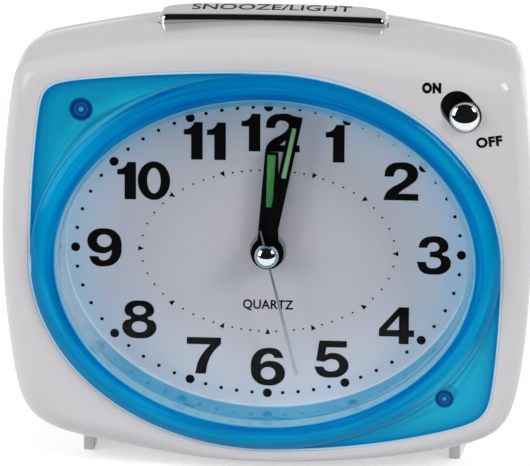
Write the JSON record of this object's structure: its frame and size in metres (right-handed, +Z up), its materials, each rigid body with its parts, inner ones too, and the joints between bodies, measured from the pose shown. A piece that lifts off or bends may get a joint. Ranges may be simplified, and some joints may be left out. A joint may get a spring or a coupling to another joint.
{
  "type": "analog alarm clock",
  "caption": "Table alarm clock with a white case, leaf-shaped blue bezel, oval silver dial, turning hands, snooze bar on top, sliding alarm switch, setting knobs and a battery door on the back.",
  "frame": {"origin": "on the ground, under the middle of the clock", "axes": "+Z up, +X to the right of someone reading the dial, -Y the way the dial looks"},
  "size_m": [0.115, 0.0544, 0.0977],
  "materials": {
    "case_white": "glossy moulded plastic",
    "bezel_blue": "glossy translucent blue plastic",
    "lens_clear": "clear polished plastic",
    "ring_blue": "glossy translucent pale blue plastic",
    "dial_silver": "satin silver paint with printed marks",
    "plate_grey": "matte moulded plastic",
    "hand_black": "satin black paint",
    "hand_grey": "satin grey paint",
    "chrome": "polished plating",
    "steel": "bare sheet or wire",
    "plated_plastic": "silver plating on plastic",
    "black_plastic": "matte moulded plastic",
    "knob_grey": "matte moulded plastic",
    "wheel_plastic": "natural moulded plastic",
    "brass": "turned",
    "magnet": "ground",
    "copper": "enamelled winding",
    "board_green": "solder resist",
    "cell_jacket": "printed jacket",
    "lamp_clear": "clear moulded plastic",
    "wire_red": "insulated wire"
  },
  "bodies": {
    "case": {"front_case": "case_white", "rear_cover": "case_white", "bezel": "bezel_blue", "lens": "lens_clear", "dial_ring": "ring_blue", "dial": "dial_silver", "dial_plate": "plate_grey", "movement_front": "plate_grey", "movement_back": "plate_grey", "battery_tray": "plate_grey", "case_screws": "steel", "bezel_screws": "steel", "dial_screws": "steel", "movement_screws": "steel", "snooze_springs": "steel", "stator": "steel", "crystal": "steel", "positive_contact": "steel", "negative_contact": "steel", "snooze_switch": "black_plastic", "switch_body": "black_plastic", "buzzer": "brass", "coil": "copper", "circuit_board": "board_green", "battery_cell": "cell_jacket", "dial_lamp": "lamp_clear", "wires": "wire_red"},
    "snooze": {"snooze_bar": "plated_plastic"},
    "alarm_switch": {"switch_knob": "plated_plastic", "switch_slider": "black_plastic"},
    "second": {"second_hand": "hand_grey", "second_cap": "chrome", "second_wheel": "wheel_plastic"},
    "third": {"third_wheel": "wheel_plastic"},
    "centre": {"centre_wheel": "brass"},
    "intermediate": {"intermediate_wheel": "wheel_plastic"},
    "rotor": {"rotor": "magnet"},
    "minute": {"minute_hand": "hand_black", "cannon_pinion": "brass"},
    "motion": {"motion_wheel": "wheel_plastic"},
    "hour": {"hour_hand": "hand_black", "hour_wheel": "wheel_plastic"},
    "time_set": {"time_arbor": "wheel_plastic", "time_knob": "knob_grey"},
    "alarm": {"alarm_hand": "hand_grey", "alarm_wheel": "wheel_plastic"},
    "alarm_set": {"alarm_arbor": "wheel_plastic", "alarm_knob": "knob_grey"},
    "battery_door": {"battery_door": "case_white"}
  },
  "joints": [
    {"name": "second_turn", "type": "hinge", "parent": "case", "child": "second", "pos_m": [0, 0, 0.047], "axis": [0, 1, 0], "continuous": true},
    {"name": "third_turn", "type": "hinge", "parent": "case", "child": "third", "pos_m": [0, 0, 0.03548], "axis": [0, 1, 0], "continuous": true},
    {"name": "centre_turn", "type": "hinge", "parent": "case", "child": "centre", "pos_m": [0, 0, 0.047], "axis": [0, 1, 0], "continuous": true},
    {"name": "intermediate_turn", "type": "hinge", "parent": "case", "child": "intermediate", "pos_m": [0.01118, 0, 0.04293], "axis": [0, 1, 0], "continuous": true},
    {"name": "rotor_turn", "type": "hinge", "parent": "case", "child": "rotor", "pos_m": [0.01827, 0, 0.04168], "axis": [0, 1, 0], "continuous": true},
    {"name": "minute_turn", "type": "hinge", "parent": "case", "child": "minute", "pos_m": [0, 0, 0.047], "axis": [0, 1, 0], "continuous": true},
    {"name": "motion_turn", "type": "hinge", "parent": "case", "child": "motion", "pos_m": [0, 0, 0.0566], "axis": [0, 1, 0], "continuous": true},
    {"name": "hour_turn", "type": "hinge", "parent": "case", "child": "hour", "pos_m": [0, 0, 0.047], "axis": [0, 1, 0], "continuous": true},
    {"name": "time_set_turn", "type": "hinge", "parent": "case", "child": "time_set", "pos_m": [0.01145, 0, 0.053], "axis": [0, 1, 0], "continuous": true},
    {"name": "alarm_set_turn", "type": "hinge", "parent": "case", "child": "alarm_set", "pos_m": [-0.01039, 0, 0.053], "axis": [0, 1, 0], "continuous": true},
    {"name": "alarm_turn", "type": "hinge", "parent": "case", "child": "alarm", "pos_m": [0, 0, 0.047], "axis": [0, 1, 0], "continuous": true},
    {"name": "snooze_press", "type": "slide", "parent": "case", "child": "snooze", "axis": [0, 0, -1], "range_m": [0, 0.001], "stiffness_N_per_m": 300, "springref_m": -0.002, "deforming": ["snooze_springs"]},
    {"name": "alarm_switch_slide", "type": "slide", "parent": "case", "child": "alarm_switch", "axis": [-0.6428, 0, 0.766], "range_m": [0, 0.0026]},
    {"name": "battery_door_pull", "type": "slide", "parent": "case", "child": "battery_door", "axis": [0, 1, 0], "range_m": [0, 0.012]}
  ],
  "couplings": [
    {"joint": "third_turn", "follows": "second_turn", "ratio": -0.13333},
    {"joint": "centre_turn", "follows": "second_turn", "ratio": 0.016667},
    {"joint": "intermediate_turn", "follows": "second_turn", "ratio": -6},
    {"joint": "rotor_turn", "follows": "second_turn", "ratio": 30},
    {"joint": "motion_turn", "follows": "minute_turn", "ratio": -0.33333},
    {"joint": "hour_turn", "follows": "minute_turn", "ratio": 0.083333},
    {"joint": "time_set_turn", "follows": "minute_turn", "ratio": 0.5},
    {"joint": "alarm_turn", "follows": "alarm_set_turn", "ratio": -0.5}
  ]
}
